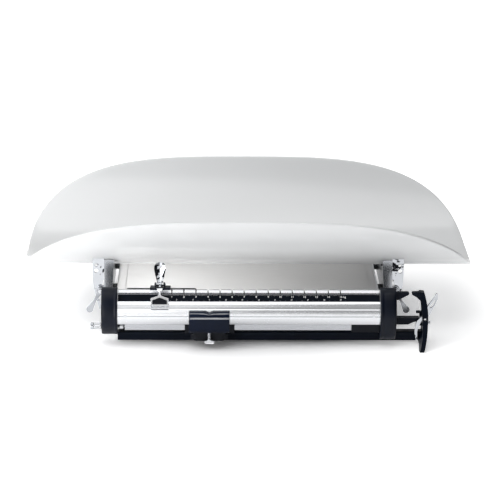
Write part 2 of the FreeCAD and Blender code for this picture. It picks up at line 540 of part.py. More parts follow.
def make_upper_poise():
    """Saddle weight on the notched rail, with a pointer in front and a sprung finger lever above."""
    x = ZERO_X
    weight = box(UPPER_WEIGHT_X, (-138.0, -123.0), (40.5, 60.5))
    weight = round_along(weight, "z", 3.0)
    parts["upper_poise_weight"] = round_along(weight, "x", 2.0)

    pivot_y, pivot_z = LATCH_PIVOT
    saddle = prism("x", (x - 11.5, x + 12.5), [
        (-150.0, 66.5), (-150.0, 69.0), (-144.0, 69.0), (-138.2, 64.2), (-126.0, 64.2), (-126.0, 60.5),
        (-138.0, 60.5), (-138.0, 61.9), (-144.2, 66.5)])
    saddle = saddle.cut(box((x - 1.6, x + 1.6), (-149.0, -142.0), (60.0, 72.0)))
    for ear in (x - 6.2, x + 4.9):
        saddle = saddle.fuse(prism("x", (ear, ear + 1.3), [
            (pivot_y - 2.4, 65.4), (pivot_y - 2.4, pivot_z), (pivot_y, pivot_z + 2.4, "arc"),
            (pivot_y + 2.4, pivot_z), (pivot_y + 2.4, 62.5)]))
    pin_bore = rod((x - 12.0, *LATCH_PIVOT), (x + 12.0, *LATCH_PIVOT), 1.2)
    parts["upper_poise_saddle"] = saddle.cut(pin_bore).removeSplitter()
    parts["latch_pin"] = rod((x - 6.8, *LATCH_PIVOT), (x + 6.8, *LATCH_PIVOT), 1.2)

    neck = prism("y", (-151.5, -150.0), [(x - 3.4, 69.0), (x + 3.4, 69.0), (x + 1.2, 63.5), (x - 1.2, 63.5)])
    neck = neck.fuse(prism("x", (x - 1.2, x + 1.2), [
        (-151.5, 64.6), (-151.5, 63.0), (-157.2, 60.0), (-158.4, 62.4)]))
    house = prism("y", (-159.4, -157.6), [
        (x, 63.4), (x + 2.6, 61.4), (x + 10.6, 58.6), (x + 10.6, 49.0), (x - 10.6, 49.0), (x - 10.6, 58.6),
        (x - 2.6, 61.4)])
    house = house.fuse(box((x - 10.6, x + 10.6), (-161.6, -159.4), (49.0, 50.6)))
    grip = prism("y", (-162.0, -159.4), [
        (x, 58.8), (x + 8.6, 55.4), (x + 8.6, 50.6), (x - 8.6, 50.6), (x - 8.6, 55.4)])
    for shape in (house, grip):
        shape.rotate(Vector(x, -157.6, 61.5), Vector(1, 0, 0), -POINTER_LEAN)
    parts["upper_poise_pointer"] = neck.fuse(house).removeSplitter()
    parts["upper_poise_grip"] = grip

    plate = prism("y", (pivot_y - 1.0, pivot_y + 1.0), [
        (x - 2.6, pivot_z), (x - 6.2, 80.0), (x - 7.0, 90.0), (x, 96.5, "arc"), (x + 7.0, 90.0),
        (x + 6.2, 80.0),
        (x + 2.6, pivot_z)])
    for side in (-1.0, 1.0):
        edge = sorted((x + side * 6.2, x + side * 5.0))
        plate = plate.fuse(box(edge, (pivot_y - 3.6, pivot_y + 1.0), (80.0, 91.0)))
    hub = rod((x - 4.5, *LATCH_PIVOT), (x + 2.5, *LATCH_PIVOT), 2.6)
    tooth = prism("x", (x - 1.0, x + 1.0), [
        (pivot_y - 1.0, 71.6), (-144.0, 71.4), (-147.6, 70.2), (-147.6, 66.3), (-145.4, 66.3), (-144.6, 69.4),
        (pivot_y - 1.0, 69.2)])
    lever_bore = rod((x - 20.0, *LATCH_PIVOT), (x + 20.0, *LATCH_PIVOT), 1.2 + PIN_CLEARANCE)
    spring_room = rod((x + 2.5, *LATCH_PIVOT), (x + 5.0, *LATCH_PIVOT), 2.8)
    parts["upper_poise_lever"] = plate.cut(spring_room).fuse(hub).fuse(tooth).cut(lever_bore).removeSplitter()
    coil = rod((x + 2.7, *LATCH_PIVOT), (x + 4.8, *LATCH_PIVOT), 2.4)
    coil = coil.cut(rod((x, *LATCH_PIVOT), (x + 10.0, *LATCH_PIVOT), 1.2 + PIN_CLEARANCE))
    parts["latch_spring"] = coil


def make_indicator():
    """Arm at the right end of the base with the fixed index, the beam stops and the lock lever."""
    inner, outer = BRACKET_X
    curve = prism("y", (-190.0, -130.0), [
        (inner - 4.0, 65.2), (outer - 4.2, 64.4), (outer + 0.6, 36.0, "arc"), (outer - 5.4, 0.0),
        (inner - 4.6, 0.0), (inner - 0.2, 14.0), (inner, 34.0, "arc"), (inner - 2.6, 56.0),
        (inner - 5.0, 59.0)])
    side = prism("x", (150.0, 230.0), [
        (-143.0, 66.0), (-151.5, 66.0), (-156.0, 48.0), (-161.0, 26.0), (FRONT_TOE_Y, 3.0),
        (FRONT_TOE_Y, 0.0),
        (-173.0, 0.0), (-160.0, 3.0), (-138.0, 2.5), (-138.0, 40.0)])
    arm = curve.common(side)
    finger = prism("y", (-151.0, -146.0), [
        (inner - 2.0, 65.2), (194.0, 64.6), (192.9, 63.6), (193.3, 61.6), (198.5, 58.6), (inner - 2.0, 53.5)])
    arm = arm.fuse(finger).removeSplitter()
    slot = box((198.0, 220.0), (LOCK_Y[0] - 0.6, LOCK_Y[1] + 0.6), (13.0, 51.0))
    arm = arm.cut(slot)
    arm = arm.cut(rod((LOCK_PIVOT[0], -165.0, LOCK_PIVOT[1]), (LOCK_PIVOT[0], -130.0, LOCK_PIVOT[1]), 1.6))
    parts["indicator_arm"] = arm.cut(parts["front_rail"]).removeSplitter()

    stop_y = (-143.6, -139.0)
    stops = box((203.6, 207.0), stop_y, (20.0, 38.0))
    stops = stops.fuse(box((199.5, 203.6), stop_y, (35.65, 38.0)))
    stops = stops.fuse(box((199.5, 203.6), stop_y, (20.0, 22.5)))
    parts["beam_stops"] = stops.cut(parts["indicator_arm"]).removeSplitter()
    screw = rod((outer - 2.0, -143.0, 24.0), (216.6, -143.0, 24.0), 2.0)
    parts["arm_screw"] = screw.cut(parts["indicator_arm"])

    px, pz = LOCK_PIVOT
    lever_y = LOCK_Y
    hub = rod((px, lever_y[0], pz), (px, lever_y[1], pz), 3.6)
    handle = prism("y", lever_y, [
        (px - 1.5, pz + 2.0), (px + 3.0, pz - 1.0), (px + 8.4, 42.0), (219.5, 47.0, "arc"), (223.8, 56.5),
        (223.6, 63.2), (221.6, 63.4), (219.4, 58.6), (214.0, 51.0, "arc"), (209.6, 42.5)])
    hole = prism("y", lever_y, [
        (214.6, 45.6), (217.0, 46.2), (220.4, 51.5, "arc"), (221.6, 57.0), (218.6, 53.4, "arc"),
        (215.4, 49.4)])
    tongue = prism("y", lever_y, [
        (px - 2.0, pz + 3.0), (px - 8.5, pz - 3.0), (px - 11.4, pz - 13.0, "arc"), (px - 10.0, pz - 26.0),
        (px - 8.6, pz - 28.4, "arc"), (px - 6.8, pz - 26.6), (px - 7.8, pz - 14.0, "arc"),
        (px - 1.5, pz - 3.0)])
    lever = hub.fuse(handle).fuse(tongue).cut(hole)
    lever = lever.cut(rod((px, -160.0, pz), (px, -130.0, pz), 1.6 + PIN_CLEARANCE))
    parts["lock_lever"] = lever.removeSplitter()
    parts["lock_pin"] = rod((px, -157.5, pz), (px, -138.8, pz), 1.6)


make_tray()
make_straps()
make_base()
make_lever_bearings()
make_levers()
make_carrier()
make_beam()
make_beam_stand()
make_zero_adjuster()
make_lower_poise()
make_upper_poise()
make_indicator()

os.makedirs("parts", exist_ok=True)
for name, shape in parts.items():
    shape.translate(Vector(0.0, MIDDLE_SHIFT, 0.0))
    print(name, "solids", len(shape.Solids), "valid", shape.isValid(), "volume", round(shape.Volume))
    shape.exportStep("parts/" + name + ".step")
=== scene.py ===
import bpy
import bmesh
import json
import math
from mathutils import Vector, Matrix


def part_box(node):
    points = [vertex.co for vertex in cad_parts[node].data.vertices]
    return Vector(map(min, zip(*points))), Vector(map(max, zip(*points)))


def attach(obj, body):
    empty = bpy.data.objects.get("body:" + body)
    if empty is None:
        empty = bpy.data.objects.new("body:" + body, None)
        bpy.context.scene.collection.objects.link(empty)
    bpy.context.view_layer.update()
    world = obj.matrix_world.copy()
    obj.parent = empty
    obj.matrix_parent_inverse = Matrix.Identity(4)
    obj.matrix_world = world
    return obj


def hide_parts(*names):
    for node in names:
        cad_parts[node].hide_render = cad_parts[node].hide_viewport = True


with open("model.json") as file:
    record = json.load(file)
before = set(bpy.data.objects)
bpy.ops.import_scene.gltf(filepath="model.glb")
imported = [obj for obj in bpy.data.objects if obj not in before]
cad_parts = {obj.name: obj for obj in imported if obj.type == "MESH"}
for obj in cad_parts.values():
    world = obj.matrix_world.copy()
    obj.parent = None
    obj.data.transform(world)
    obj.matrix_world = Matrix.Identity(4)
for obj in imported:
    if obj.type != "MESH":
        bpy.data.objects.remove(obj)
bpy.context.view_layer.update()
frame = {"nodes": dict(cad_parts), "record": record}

# A baby scale: white trough tray, low brushed base, weighing beam with two poises along the front.
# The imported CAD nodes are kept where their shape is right, with softened edges and procedural
# materials. The tray, the beam's shell and caps, the lower poise and its screw, the finger lever and
# the zero knob are remade here in finer detail, each inside the room that its CAD node holds.

MM = 0.001
nodes = frame["nodes"]
box = {name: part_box(name) for name in nodes}

# Camera
AIM = Vector((3.6, 18.6, 67.2)) * MM
DISTANCE = 2.7
ELEVATION = math.radians(18.3)
AZIMUTH = math.radians(-1.08)
ROLL = math.radians(0.47)
LENS = 155.7

# Tray, as a sheet bent round a long axis
TRAY_FLAT_HALF = 19.0 * MM
TRAY_RADIUS = 135.0 * MM
TRAY_BEND = math.radians(68.2)
TRAY_WALL = 4.0 * MM
TRAY_POWER = 3.3
TRAY_SPACING = Vector((275.0, 180.0))
TRAY_SPOKES = 240
TRAY_RINGS = 44
TRAY_LIP_STEPS = 8

# Scale figures
NOTCH_PITCH = 14.26 * MM
KILOGRAMS = 15
KILOGRAMS_PER_POUND = 0.45359
POUNDS = 33

# Finger lever of the upper poise
LEVER_SHEET = 1.0 * MM
LEVER_LEAN = math.tan(math.radians(9))
LEVER_WIDEST = 0.72
LEVER_STATIONS = 26
LEVER_COLUMNS = 8

# Bevel on the CAD nodes that stay
EDGE_WIDTH = 0.35 * MM
EDGE_SEGMENTS = 2
EDGE_ANGLE = math.radians(32)

# Painted floor glow: hardly any under the scale, which leaves a painted shade round it, more beside it, and
# more again far off
SHADE_HALF_X, SHADE_HALF_Y = 0.165, 0.155
NEAR_GLOW = (0.03, 0.40, 0.95, 1.45)
FAR_GLOW = (0.0, 0.5, 3.0, 14.0)

# Studio surround, with a dark region low in front on both sides
WORLD_STRENGTH = 0.42
WORLD_DARK = (0.01, 0.012, 0.02, 1.0)
DARK_ASIDE = (0.22, 0.42)
DARK_IN_FRONT = (0.25, -0.05)
DARK_BELOW = (0.72, 0.55)


# ---------------------------------------------------------------- materials

class Shader:
    """Builds one principled material node by node."""

    def __init__(self, name):
        self.material = bpy.data.materials.new(name)
        self.material.use_nodes = True
        self.tree = self.material.node_tree
        self.bsdf = self.tree.nodes["Principled BSDF"]
        self.coords = self.tree.nodes.new("ShaderNodeTexCoord")

    def set(self, **values):
        for key, value in values.items():
            self.bsdf.inputs[key.replace("_", " ")].default_value = value
        return self

    def noise(self, scale, detail=4.0, stretch=(1.0, 1.0, 1.0)):
        mapping = self.tree.nodes.new("ShaderNodeMapping")
        mapping.inputs["Scale"].default_value = stretch
        self.tree.links.new(self.coords.outputs["Object"], mapping.inputs["Vector"])
        noise = self.tree.nodes.new("ShaderNodeTexNoise")
        noise.inputs["Scale"].default_value = scale
        noise.inputs["Detail"].default_value = detail
        self.tree.links.new(mapping.outputs["Vector"], noise.inputs["Vector"])
        return noise.outputs["Fac"]

    def ramp(self, source, low, high, start=0.3, end=0.7):
        ramp = self.tree.nodes.new("ShaderNodeValToRGB")
        ramp.color_ramp.elements[0].position = start
        ramp.color_ramp.elements[1].position = end
        ramp.color_ramp.elements[0].color = (*low, 1.0)
        ramp.color_ramp.elements[1].color = (*high, 1.0)
        self.tree.links.new(source, ramp.inputs["Fac"])
        return ramp.outputs["Color"]

    def link(self, output, socket):
        self.tree.links.new(output, self.bsdf.inputs[socket])
        return self

    def value_range(self, source, low, high, start=0.3, end=0.7):
        node = self.tree.nodes.new("ShaderNodeMapRange")
        node.inputs["From Min"].default_value = start
        node.inputs["From Max"].default_value = end
        node.inputs["To Min"].default_value = low
        node.inputs["To Max"].default_value = high
        self.tree.links.new(source, node.inputs["Value"])
        return node.outputs["Result"]

    def bump(self, source, strength, distance=0.2 * MM):
        node = self.tree.nodes.new("ShaderNodeBump")
        node.inputs["Strength"].default_value = strength
        node.inputs["Distance"].default_value = distance
        self.tree.links.new(source, node.inputs["Height"])
        self.tree.links.new(node.outputs["Normal"], self.bsdf.inputs["Normal"])
        return self


def shade(color, factor):
    """A colour made lighter or darker, held to 1."""
    return tuple(min(1.0, channel * factor) for channel in color)


def wavy(material, scale, strength):
    """Give a polished surface the slight waviness of formed sheet, so that reflections break up."""
    tree = material.node_tree
    coords = tree.nodes.new("ShaderNodeTexCoord")
    noise = tree.nodes.new("ShaderNodeTexNoise")
    noise.inputs["Scale"].default_value = scale
    noise.inputs["Detail"].default_value = 1.0
    bump = tree.nodes.new("ShaderNodeBump")
    bump.inputs["Strength"].default_value = strength
    bump.inputs["Distance"].default_value = 1.0 * MM
    tree.links.new(coords.outputs["Object"], noise.inputs["Vector"])
    tree.links.new(noise.outputs["Fac"], bump.inputs["Height"])
    tree.links.new(bump.outputs["Normal"], tree.nodes["Principled BSDF"].inputs["Normal"])
    return material


def gloss_plastic(name, color, roughness):
    """Smooth moulded plastic with a faint unevenness and fine scuffs."""
    shader = Shader(name)
    shader.set(IOR=1.5, Coat_Weight=0.25, Coat_Roughness=0.12)
    tint = shader.ramp(shader.noise(6.0, 2.0), shade(color, 0.992), shade(color, 1.005))
    scuffs = shader.value_range(shader.noise(30.0, 4.0), roughness * 0.93, roughness * 1.07)
    shader.link(tint, "Base Color").link(scuffs, "Roughness")
    shader.bump(shader.noise(900.0, 2.0), 0.006)
    return shader.material


def satin(name, color, roughness, grain=2600.0, strength=0.1, gloss=0.1):
    """Painted or moulded surface with a fine grain."""
    shader = Shader(name)
    shader.set(IOR=1.45, Specular_IOR_Level=gloss)
    tint = shader.ramp(shader.noise(60.0, 6.0), shade(color, 0.8), shade(color, 1.25))
    patches = shader.value_range(shader.noise(170.0, 4.0), roughness * 0.85, roughness * 1.2)
    shader.link(tint, "Base Color").link(patches, "Roughness")
    shader.bump(shader.noise(grain, 2.0), strength)
    return shader.material


def metal(name, color, roughness, stretch=(1.0, 1.0, 1.0), strength=0.05, tone=0.05, metallic=1.0):
    """Bare or plated metal, its grain drawn out along an axis by a small stretch value."""
    shader = Shader(name)
    shader.set(Metallic=metallic)
    grain = shader.noise(1500.0, 3.0, stretch)
    tint = shader.ramp(shader.noise(35.0, 5.0, stretch), shade(color, 1.0 - tone), shade(color, 1.0 + tone))
    streaks = shader.value_range(grain, roughness * 0.8, roughness * 1.25)
    shader.link(tint, "Base Color").link(streaks, "Roughness")
    shader.bump(grain, strength)
    return shader.material


MATERIALS = {
    "white_tray": gloss_plastic("tray_white", (0.70, 0.71, 0.715), 0.22),
    "chromed_steel": wavy(metal("chrome_plate", (0.50, 0.515, 0.54), 0.06, tone=0.02), 150.0, 0.6),
    "brushed_cover": metal("cover_brushed", (0.60, 0.595, 0.59), 0.42, (0.03, 1.0, 1.0), 0.02, 0.015, 0.6),
    "black_base": satin("base_black", (0.001, 0.003, 0.008), 0.4),
    "black_satin": satin("satin_black", (0.001, 0.003, 0.008), 0.34),
    "grey_cast": satin("cast_grey", (0.10, 0.105, 0.11), 0.55, 1500.0, 0.4),
    "plain_steel": metal("steel_plain", (0.60, 0.61, 0.63), 0.22),
    "hard_steel": metal("steel_hard", (0.42, 0.43, 0.45), 0.18),
    "beam_aluminium": metal("aluminium_satin", (0.70, 0.71, 0.73), 0.2, (0.02, 1.0, 1.0), 0.008, 0.01),
    "scale_black": satin("strip_black", (0.003, 0.005, 0.009), 0.32, 3000.0, 0.04),
    "cap_plastic": satin("cap_charcoal", (0.001, 0.003, 0.009), 0.42, 3400.0, 0.12, 0.22),
    "poise_black": satin("poise_black", (0.001, 0.003, 0.010), 0.13, 3000.0, 0.01, 0.14),
    "poise_weight": satin("weight_black", (0.010, 0.010, 0.012), 0.4),
    "black_plastic": satin("plastic_black", (0.008, 0.009, 0.012), 0.42),
    "black_rubber": satin("rubber_black", (0.012, 0.012, 0.012), 0.7, 2000.0, 0.35),
}
soft_chrome = metal("chrome_soft", (0.44, 0.455, 0.48), 0.2, strength=0.006, tone=0.03, metallic=0.85)
# A lighter, partly diffuse copy of the chrome for the pointer frame: painted reflection, so that the frame
# reads white under any light.
bright_chrome_painted_reflection = metal("chrome_bright", (0.86, 0.87, 0.89), 0.22, strength=0.004, tone=0.02, metallic=0.75)
# A darker copy of the beam's satin aluminium for the lower bar: painted shade, standing in for the shaded
# floor that the bar reflects.
bar_metal_painted_shade = metal("bar_satin", (0.42, 0.43, 0.45), 0.28, (0.02, 1.0, 1.0), 0.01, 0.02)
figure_white = gloss_plastic("figure_white", (0.85, 0.85, 0.85), 0.4)
SPECIAL = {
    # The strap screws are dressed black: painted shade, for the dark holes they sit in.
    "lower_bar": bar_metal_painted_shade, "upper_poise_pointer": bright_chrome_painted_reflection, "strap_screws": MATERIALS["black_satin"],
    "cradle_left": soft_chrome, "cradle_right": soft_chrome,
    "tray_clip_left": soft_chrome, "tray_clip_right": soft_chrome,
}
mark_dark = satin("mark_dark", (0.02, 0.02, 0.022), 0.5)

slot_of = {item["node"]: item["material_slot"] for item in frame["record"]["subparts"]}
body_of = {node: body for body, members in frame["record"]["behaviour"]["bodies"].items() for node in members}


def dress(obj, material):
    obj.data.materials.clear()
    obj.data.materials.append(material)


def soften(obj):
    """Break the sharp edges so that they catch light."""
    weld = obj.modifiers.new("weld", "WELD")
    weld.merge_threshold = 0.01 * MM
    bevel = obj.modifiers.new("bevel", "BEVEL")
    bevel.width = EDGE_WIDTH
    bevel.segments = EDGE_SEGMENTS
    bevel.limit_method = "ANGLE"
    bevel.angle_limit = EDGE_ANGLE
    bevel.use_clamp_overlap = True


# ---------------------------------------------------------------- mesh helpers

def finish_mesh(mesh, name, node, replace=True, smooth=True, sharp=math.radians(35)):
    """Turn a bmesh into a piece that takes its body and finish from a CAD node."""
    bmesh.ops.recalc_face_normals(mesh, faces=mesh.faces)
    data = bpy.data.meshes.new(name)
    mesh.to_mesh(data)
    mesh.free()
    if smooth:
        data.polygons.foreach_set("use_smooth", [True] * len(data.polygons))
        data.set_sharp_from_angle(angle=sharp)
    obj = bpy.data.objects.new(name, data)
    bpy.context.scene.collection.objects.link(obj)
    dress(obj, MATERIALS[slot_of[node]])
    if replace:
        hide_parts(node)
    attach(obj, body_of[node])
    return obj


def loft(mesh, rings, caps=True):
    """Quads between successive closed rings of equal length, with the first and last filled."""
    loops = [[mesh.verts.new(point) for point in ring] for ring in rings]
    count = len(loops[0])
    for first, second in zip(loops, loops[1:]):
        for index in range(count):
            after = (index + 1) % count
            mesh.faces.new((first[index], first[after], second[after], second[index]))
    if caps:
        mesh.faces.new(loops[0])
        mesh.faces.new(list(reversed(loops[-1])))
    return loops


def rounded(corners, radius, steps=5):
    """A closed 2D outline with each corner replaced by a short arc. A corner may state its own radius."""
    result = []
    count = len(corners)
    for index in range(count):
        here = Vector(corners[index][:2])
        size = corners[index][2] if len(corners[index]) > 2 else radius
        before = (Vector(corners[index - 1][:2]) - here)
        after = (Vector(corners[(index + 1) % count][:2]) - here)
        reach = min(size, before.length * 0.48, after.length * 0.48)
        if reach < 1e-9:
            result.append(here)
            continue
        start = here + before.normalized() * reach
        end = here + after.normalized() * reach
        for step in range(steps + 1):
            t = step / steps
            result.append(start * (1 - t) ** 2 + here * (2 * t * (1 - t)) + end * t ** 2)
    return result


def inset(outline, amount, share=None):
    """A closed 2D outline moved inwards along its normals. share(point) scales the move at a point."""
    count = len(outline)
    area = sum(outline[i].x * outline[(i + 1) % count].y - outline[(i + 1) % count].x * outline[i].y
               for i in range(count))
    sign = 1.0 if area > 0 else -1.0
    result = []
    for index in range(count):
        along = outline[(index + 1) % count] - outline[index - 1]
        if along.length < 1e-12:
            result.append(outline[index].copy())
            continue
        normal = Vector((-along.y, along.x)).normalized() * sign
        result.append(outline[index] + normal * (amount * share(outline[index]) if share else amount))
    return result


def lifted(axis, level, outline):
    """2D outline points placed in space at a level along X or Y."""
    if axis == "x":
        return [Vector((level, p.x, p.y)) for p in outline]
    return [Vector((p.x, level, p.y)) for p in outline]


def plate(mesh, axis, limits, outline, edge=0.3 * MM, steps=3):
    """A prism with rounded rims at both ends."""
    low, high = limits
    rings = []
    for step in range(steps + 1):
        turn = math.pi / 2 * step / steps
        amount = edge * (1 - math.cos(math.pi / 2 - turn))
        rings.append(lifted(axis, low + edge * (1 - math.sin(turn)), inset(outline, amount)))
    for step in range(steps + 1):
        turn = math.pi / 2 * step / steps
        amount = edge * (1 - math.cos(turn))
        rings.append(lifted(axis, high - amount, inset(outline, amount)))
    loft(mesh, rings)


def turned(mesh, axis, centre, profile, segments=48, ripple=None):
    """A turned solid along X or Z from (place, radius) pairs. ripple(angle, index) scales a radius."""
    rings = []
    for index, (level, radius) in enumerate(profile):
        ring = []
        for step in range(segments):
            angle = 2 * math.pi * step / segments
            size = radius * (ripple(angle, index) if ripple else 1.0)
            a, b = size * math.cos(angle), size * math.sin(angle)
            if axis == "x":
                ring.append(Vector((level, centre[0] + a, centre[1] + b)))
            else:
                ring.append(Vector((centre[0] + a, centre[1] + b, level)))
        rings.append(ring)
    loft(mesh, rings)


def middle(node):
    low, high = box[node]
    return (low + high) / 2


# ---------------------------------------------------------------- tray

def superellipse(count):
    """Evenly spaced points round a unit superellipse, as (cos-like, sin-like) pairs."""
    dense = []
    total = 4000
    for step in range(total + 1):
        turn = 2 * math.pi * step / total
        c, s = math.cos(turn), math.sin(turn)
        dense.append(Vector((math.copysign(abs(c) ** (2 / TRAY_POWER), c),
                             math.copysign(abs(s) ** (2 / TRAY_POWER), s))))
    lengths = [0.0]
    for first, second in zip(dense, dense[1:]):
        step = second - first
        lengths.append(lengths[-1] + Vector((step.x * TRAY_SPACING.x, step.y * TRAY_SPACING.y)).length)
    points = []
    place = 0
    for index in range(count):
        wanted = lengths[-1] * index / count
        while lengths[place + 1] < wanted:
            place += 1
        share = (wanted - lengths[place]) / max(1e-12, lengths[place + 1] - lengths[place])
        points.append(dense[place].lerp(dense[place + 1], share))
    return points


def make_tray():
    """The trough sheet, bent round a long axis, with a half-round lip all the way round."""
    low, high = box["tray"]
    half_length = (high.x - low.x) / 2
    centre_y = (low.y + high.y) / 2
    sheet_half = TRAY_FLAT_HALF + TRAY_RADIUS * TRAY_BEND
    lip = TRAY_WALL / 2

    def bent(along, length, offset):
        reach = abs(length)
        angle = max(0.0, reach - TRAY_FLAT_HALF) / TRAY_RADIUS
        radius = TRAY_RADIUS + offset
        across = min(reach, TRAY_FLAT_HALF) + radius * math.sin(angle)
        return Vector((along, centre_y + math.copysign(across, length),
                       low.z + TRAY_RADIUS - radius * math.cos(angle)))

    rim = [Vector((p.x * (half_length - lip), p.y * (sheet_half - lip))) for p in superellipse(TRAY_SPOKES)]
    outward = []
    for index in range(TRAY_SPOKES):
        along = rim[(index + 1) % TRAY_SPOKES] - rim[index - 1]
        outward.append(Vector((along.y, -along.x)).normalized())
    mesh = bmesh.new()
    loops = []
    for ring in range(1, TRAY_RINGS + 1):
        share = ring / TRAY_RINGS
        loops.append([bent(p.x * share, p.y * share, 0.0) for p in rim])
    for bend in range(1, TRAY_LIP_STEPS):
        turn = math.pi * bend / TRAY_LIP_STEPS
        loops.append([bent(p.x + n.x * lip * math.sin(turn), p.y + n.y * lip * math.sin(turn),
                           -lip + lip * math.cos(turn)) for p, n in zip(rim, outward)])
    for ring in range(TRAY_RINGS, 0, -1):
        share = ring / TRAY_RINGS
        loops.append([bent(p.x * share, p.y * share, -TRAY_WALL) for p in rim])
    vertices = loft(mesh, loops, caps=False)
    for loop, offset in ((vertices[0], 0.0), (vertices[-1], -TRAY_WALL)):
        pole = mesh.verts.new(bent(0.0, 0.0, offset))
        for index in range(TRAY_SPOKES):
            mesh.faces.new((loop[index], loop[(index + 1) % TRAY_SPOKES], pole))
    finish_mesh(mesh, "tray_sheet", "tray", sharp=math.radians(60))


# ---------------------------------------------------------------- beam

def beam_section():
    """Outline of the beam's shell in Y and Z, front faces in flats and shallow coves."""
    low, high = box["beam_body"]
    front, back, top = low.y, high.y, high.z
    rail_front, rail_back = box["notch_rail"][0].y, box["notch_rail"][1].y
    groove = box["notch_rail"][0].z

    def at(y, z, radius=None):
        return (front + y * MM, top + z * MM) + ((radius * MM,) if radius is not None else ())

    corners = [
        (rail_front, top, 0.1 * MM), at(13.6, 0.0, 0.1), at(9.6, -6.2, 0.1), at(8.2, -6.7, 0.35),
        at(5.9, -8.6, 1.3), at(3.9, -11.2, 1.4), at(2.7, -14.1, 0.15), at(1.7, -14.7, 0.2),
        at(0.8, -18.4, 1.8), at(0.3, -22.0, 0.15), at(1.3, -22.4, 0.1), at(0.1, -23.0, 0.3),
        at(0.1, -25.2, 1.0), at(0.9, -28.5, 1.4), at(1.9, -31.2, 0.8), at(3.2, -33.5, 0.4),
        at(4.3, -33.5, 0.3), at(4.7, -30.5, 0.3), (back, top - 30.5 * MM, 0.3 * MM), (back, top, 0.3 * MM),
        (rail_back, top, 0.1 * MM), (rail_back, groove, 0.1 * MM), (rail_front, groove, 0.1 * MM),
    ]
    return rounded(corners, 0.3 * MM)


def make_beam():
    """The beam's shell, one section from cap to cap."""
    low, high = box["beam_body"]
    mesh = bmesh.new()
    outline = beam_section()
    loft(mesh, [lifted("x", low.x + 0.05 * MM, outline), lifted("x", high.x - 0.05 * MM, outline)])
    finish_mesh(mesh, "beam_shell", "beam_body", sharp=math.radians(22))


def make_cap(node, side):
    """Barrel-shaped end cap, with a rolled outer edge and a raised rim towards the beam."""
    low, high = box[node]
    inner, outer = (high.x, low.x) if side < 0 else (low.x, high.x)
    across = outer - inner
    bottom = low.z
    front, back, top = low.y, high.y, high.z

    def at(y, z, radius):
        return (front + y * MM, z, radius * MM)

    corners = [
        (back, top - 3.2 * MM, 1.5 * MM), at(30.0, top - 0.8 * MM, 3.0), at(23.0, top, 6.0),
        at(15.0, top - 2.2 * MM, 8.0), at(8.6, top - 8.0 * MM, 9.0), at(2.6, top - 19.0 * MM, 9.0),
        at(0.0, top - 30.0 * MM, 10.0), at(2.2, top - 41.0 * MM, 10.0), at(8.5, bottom + 6.0 * MM, 7.0),
        at(14.0, bottom + 1.0 * MM, 4.0), at(18.0, bottom, 2.0), at(20.0, bottom, 1.0),
        at(20.0, 21.5 * MM, 0.6), (back, 21.5 * MM, 0.6 * MM),
    ]
    outline = rounded(corners, 1.0 * MM, 6)
    stations = [
        (0.0, 1.6), (0.0, 0.9), (0.02, 0.35), (0.05, 0.05), (0.10, 0.0), (0.15, 0.1), (0.18, 0.55),
        (0.22, 0.7), (0.30, 0.55), (0.55, 0.25), (0.75, 0.3),
        (0.86, 0.5), (0.93, 0.9), (0.975, 1.6), (1.0, 2.5),
    ]

    def near_front(point):
        return max(0.12, min(1.0, (front + 19.0 * MM - point.x) / (8.0 * MM)))

    mesh = bmesh.new()
    loft(mesh, [lifted("x", inner + across * share, inset(outline, amount * MM, near_front))
                for share, amount in stations])
    finish_mesh(mesh, node + "_shell", node, sharp=math.radians(40))


def text_piece(name, words, size, place, up, normal, node):
    """White figures that lie on the strip."""
    curve = bpy.data.curves.new(name, "FONT")
    curve.body = words
    curve.size = size
    curve.extrude = 0.03 * MM
    curve.align_x = "CENTER"
    curve.align_y = "CENTER"
    curve.resolution_u = 3
    curve.space_character = 1.05
    curve.offset = 0.04 * MM
    obj = bpy.data.objects.new(name, curve)
    bpy.context.scene.collection.objects.link(obj)
    along = up.cross(normal)
    obj.matrix_world = Matrix.Translation(place) @ Matrix((along, up, normal)).transposed().to_4x4()
    obj.data.materials.append(figure_white)
    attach(obj, body_of[node])
    return obj


